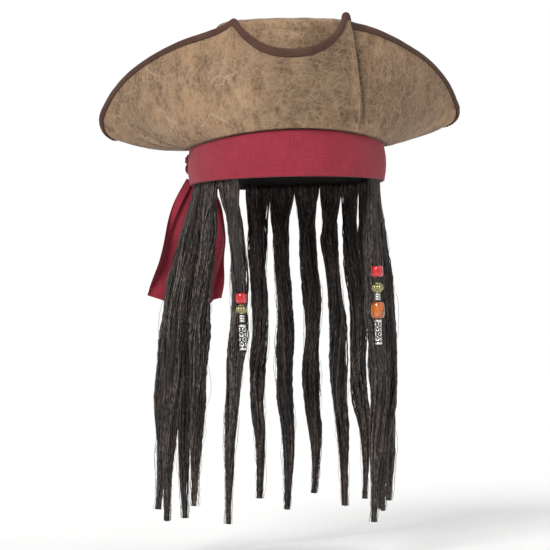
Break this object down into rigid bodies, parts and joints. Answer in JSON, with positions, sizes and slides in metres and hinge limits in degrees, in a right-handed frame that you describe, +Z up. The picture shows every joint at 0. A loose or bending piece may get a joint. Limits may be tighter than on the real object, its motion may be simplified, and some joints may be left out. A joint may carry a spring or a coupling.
{
  "type": "pirate hat",
  "caption": "Cocked pirate hat of worn imitation leather with bound edges, a red bandana with hanging tails, dreadlocks and bead strings.",
  "frame": {"origin": "middle of the head opening, 3.5 mm above the front of the seam between brim and crown", "axes": "+Z up through the crown, -Y forward over the wearer's brow, +X to the wearer's left"},
  "size_m": [0.3553, 0.2423, 0.4691],
  "materials": {
    "leather": "distressed suede-like imitation leather with darker mottling and pale cracks",
    "stiffener": "felted foam sheet",
    "lining": "plain dark woven lining",
    "sweatband": "ribbed tape",
    "binding": "dark brown woven tape, stitched",
    "bandana": "crimson plain-weave cotton",
    "weft": "black sewn tape",
    "hair": "dark brown synthetic hair with a dull shine",
    "bead_cord": "waxed black cord",
    "red_bead": "glossy opaque red",
    "gold_bead": "aged gold with dark grooves",
    "amber_bead": "streaked clear amber resin",
    "silver_metal": "aged silver with dark recesses"
  },
  "bodies": {
    "hat": {"crown_side": "leather", "crown_top": "leather", "lining_side": "lining", "lining_top": "lining", "sweatband": "sweatband", "brim_outer": "leather", "brim_stiffener": "stiffener", "brim_inner": "leather", "brim_binding": "binding", "bandana_band": "bandana", "bandana_knot": "bandana", "hair_weft": "weft"},
    "lock_left_1": {"lock_left_1": "hair"},
    "lock_left_2": {"lock_left_2": "hair"},
    "lock_left_3": {"lock_left_3": "hair"},
    "lock_left_4": {"lock_left_4": "hair"},
    "lock_left_5": {"lock_left_5": "hair"},
    "lock_back_1": {"lock_back_1": "hair"},
    "lock_back_2": {"lock_back_2": "hair"},
    "lock_back_3": {"lock_back_3": "hair"},
    "lock_back_4": {"lock_back_4": "hair"},
    "lock_right_5": {"lock_right_5": "hair"},
    "lock_right_4": {"lock_right_4": "hair"},
    "lock_right_3": {"lock_right_3": "hair"},
    "lock_right_2": {"lock_right_2": "hair"},
    "lock_right_1": {"lock_right_1": "hair"},
    "bead_string_left": {"string_left": "bead_cord", "bead_left_red": "red_bead", "bead_left_gold": "gold_bead", "bead_left_silver": "silver_metal", "charm_left": "silver_metal"},
    "bead_string_right": {"string_right": "bead_cord", "bead_right_red": "red_bead", "bead_right_gold": "gold_bead", "bead_right_silver": "silver_metal", "bead_right_amber": "amber_bead", "charm_right": "silver_metal"},
    "tail_front": {"bandana_tail_front": "bandana"},
    "tail_back": {"bandana_tail_back": "bandana"}
  },
  "joints": [
    {"name": "lock_left_1_swing", "type": "hinge", "parent": "hat", "child": "lock_left_1", "pos_m": [-0.05863, -0.06652, -0.0576], "axis": [-0.3252, 0.9457, 0], "range_deg": [0, 30]},
    {"name": "lock_left_2_swing", "type": "hinge", "parent": "hat", "child": "lock_left_2", "pos_m": [-0.07325, -0.04198, -0.0576], "axis": [-0.3834, 0.9236, 0], "range_deg": [0, 30]},
    {"name": "lock_left_3_swing", "type": "hinge", "parent": "hat", "child": "lock_left_3", "pos_m": [-0.08089, -0.01167, -0.0576], "axis": [-0.1039, 0.9946, 0], "range_deg": [0, 30]},
    {"name": "lock_left_4_swing", "type": "hinge", "parent": "hat", "child": "lock_left_4", "pos_m": [-0.07972, 0.01991, -0.0576], "axis": [0.178, 0.984, 0], "range_deg": [0, 25]},
    {"name": "lock_left_5_swing", "type": "hinge", "parent": "hat", "child": "lock_left_5", "pos_m": [-0.06986, 0.04932, -0.0576], "axis": [0.4553, 0.8903, 0], "range_deg": [0, 12]},
    {"name": "lock_back_1_swing", "type": "hinge", "parent": "hat", "child": "lock_back_1", "pos_m": [-0.01833, 0.09331, -0.0576], "axis": [0.9651, 0.2618, 0], "range_deg": [0, 12]},
    {"name": "lock_back_2_swing", "type": "hinge", "parent": "hat", "child": "lock_back_2", "pos_m": [0.00426, 0.09563, -0.0576], "axis": [0.9981, -0.0615, 0], "range_deg": [0, 30]},
    {"name": "lock_back_3_swing", "type": "hinge", "parent": "hat", "child": "lock_back_3", "pos_m": [0.02788, 0.08999, -0.0576], "axis": [0.9194, -0.3932, 0], "range_deg": [0, 30]},
    {"name": "lock_back_4_swing", "type": "hinge", "parent": "hat", "child": "lock_back_4", "pos_m": [0.04905, 0.07648, -0.0576], "axis": [0.7487, -0.6629, 0], "range_deg": [0, 30]},
    {"name": "lock_right_5_swing", "type": "hinge", "parent": "hat", "child": "lock_right_5", "pos_m": [0.06509, 0.05763, -0.0576], "axis": [0.5398, -0.8418, 0], "range_deg": [0, 30]},
    {"name": "lock_right_4_swing", "type": "hinge", "parent": "hat", "child": "lock_right_4", "pos_m": [0.07609, 0.03432, -0.0576], "axis": [0.3105, -0.9506, 0], "range_deg": [0, 30]},
    {"name": "lock_right_3_swing", "type": "hinge", "parent": "hat", "child": "lock_right_3", "pos_m": [0.08119, 0.00835, -0.0576], "axis": [0.0743, -0.9972, 0], "range_deg": [0, 30]},
    {"name": "lock_right_2_swing", "type": "hinge", "parent": "hat", "child": "lock_right_2", "pos_m": [0.08, -0.01827, -0.0576], "axis": [-0.1632, -0.9866, 0], "range_deg": [0, 30]},
    {"name": "lock_right_1_swing", "type": "hinge", "parent": "hat", "child": "lock_right_1", "pos_m": [0.07262, -0.04347, -0.0576], "axis": [-0.3978, -0.9175, 0], "range_deg": [0, 30]},
    {"name": "bead_string_left_swing", "type": "hinge", "parent": "hat", "child": "bead_string_left", "pos_m": [-0.056, -0.0845, -0.0485], "axis": [-0.7378, 0.675, 0], "range_deg": [0, 30]},
    {"name": "bead_string_right_swing", "type": "hinge", "parent": "hat", "child": "bead_string_right", "pos_m": [0.0735, -0.0635, -0.0485], "axis": [-0.5305, -0.8477, 0], "range_deg": [0, 30]},
    {"name": "tail_front_swing", "type": "hinge", "parent": "hat", "child": "tail_front", "pos_m": [-0.0809, 0.07726, -0.023], "axis": [0.5812, 0.8138, 0], "range_deg": [0, 30]},
    {"name": "tail_back_swing", "type": "hinge", "parent": "hat", "child": "tail_back", "pos_m": [-0.0809, 0.07726, -0.023], "axis": [0.5812, 0.8138, 0], "range_deg": [0, 30]}
  ]
}
